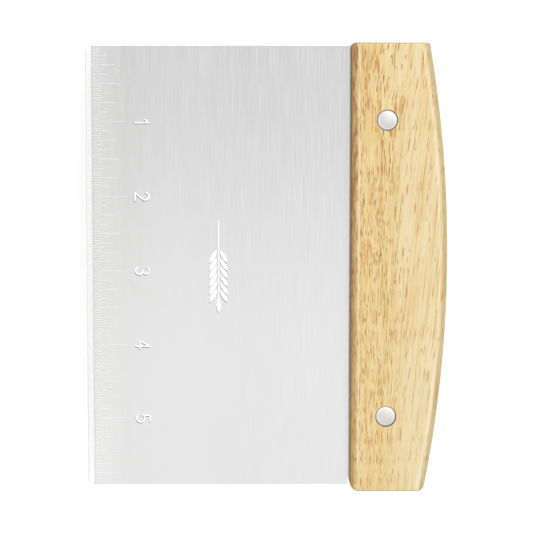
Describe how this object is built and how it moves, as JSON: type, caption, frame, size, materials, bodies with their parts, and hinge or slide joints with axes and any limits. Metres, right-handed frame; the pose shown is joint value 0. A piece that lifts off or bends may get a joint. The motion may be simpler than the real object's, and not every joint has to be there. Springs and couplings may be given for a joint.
{
  "type": "bench scraper",
  "caption": "Bench scraper: flat steel blade with an etched inch scale and a ground edge, riveted into a hardwood handle with a gently curved back.",
  "frame": {"origin": "middle of the scraping edge, at the lowest point of the object held upright", "axes": "+X along the scraping edge in the direction in which the scale is read, +Y from the face with the scale to the plain face, +Z from the scraping edge up to the back of the handle"},
  "size_m": [0.1516, 0.018, 0.1225],
  "materials": {
    "blade_steel": "satin, brushed along the scraping edge",
    "handle_wood": "oiled pale hardwood with short orange-brown pores along the grain",
    "rivet_metal": "satin"
  },
  "bodies": {
    "root": {"blade": "blade_steel", "handle": "handle_wood", "left_rivet_pin": "rivet_metal", "left_rivet_sleeve": "rivet_metal", "right_rivet_pin": "rivet_metal", "right_rivet_sleeve": "rivet_metal"}
  },
  "joints": []
}
